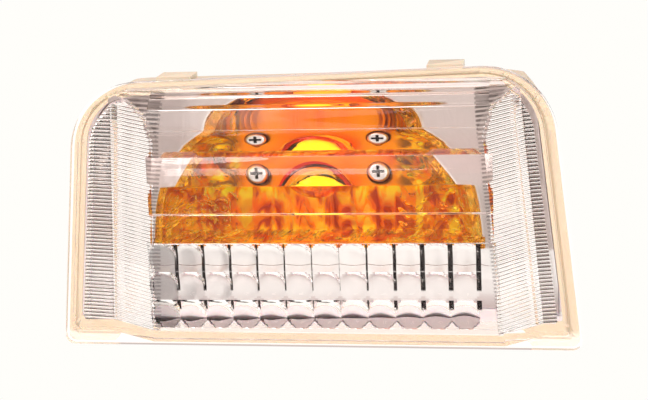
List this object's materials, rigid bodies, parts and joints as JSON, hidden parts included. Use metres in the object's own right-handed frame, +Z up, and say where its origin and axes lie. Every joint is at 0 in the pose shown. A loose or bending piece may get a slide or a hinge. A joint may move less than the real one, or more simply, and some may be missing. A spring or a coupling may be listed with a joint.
{
  "type": "vehicle indicator lamp",
  "caption": "Vehicle indicator lamp: a clear fluted lens with ridged wings over an amber cap and its bulb, on a cream housing with a bulb holder at the back.",
  "frame": {"origin": "middle of the seat, the flat rear face of the housing rim", "axes": "-Y forwards out of the lens, +Z up, +X to the right as seen from the front"},
  "size_m": [0.1338, 0.0637, 0.0723],
  "materials": {
    "clear_lens": "clear polished acrylic",
    "cream_housing": "cream moulded plastic",
    "bright_reflector": "metallised plastic",
    "amber_cap": "amber polished plastic",
    "screws": "zinc-plated steel",
    "bulb_glass": "clear glass",
    "bulb_wire": "wire",
    "black_holder": "black moulded nylon",
    "seal_rubber": "soft rubber",
    "brass_terminals": "pressed brass"
  },
  "bodies": {
    "root": {"lens": "clear_lens", "housing": "cream_housing", "reflector": "bright_reflector", "amber_cap": "amber_cap", "cap_screw_left": "screws", "cap_screw_right": "screws", "bulb_envelope": "bulb_glass", "bulb_filament": "bulb_wire", "bulb_lead_left": "bulb_wire", "bulb_lead_right": "bulb_wire", "holder_body": "black_holder", "holder_seal": "seal_rubber", "terminal_left": "brass_terminals", "terminal_right": "brass_terminals", "vent_cap": "black_holder"}
  },
  "joints": []
}
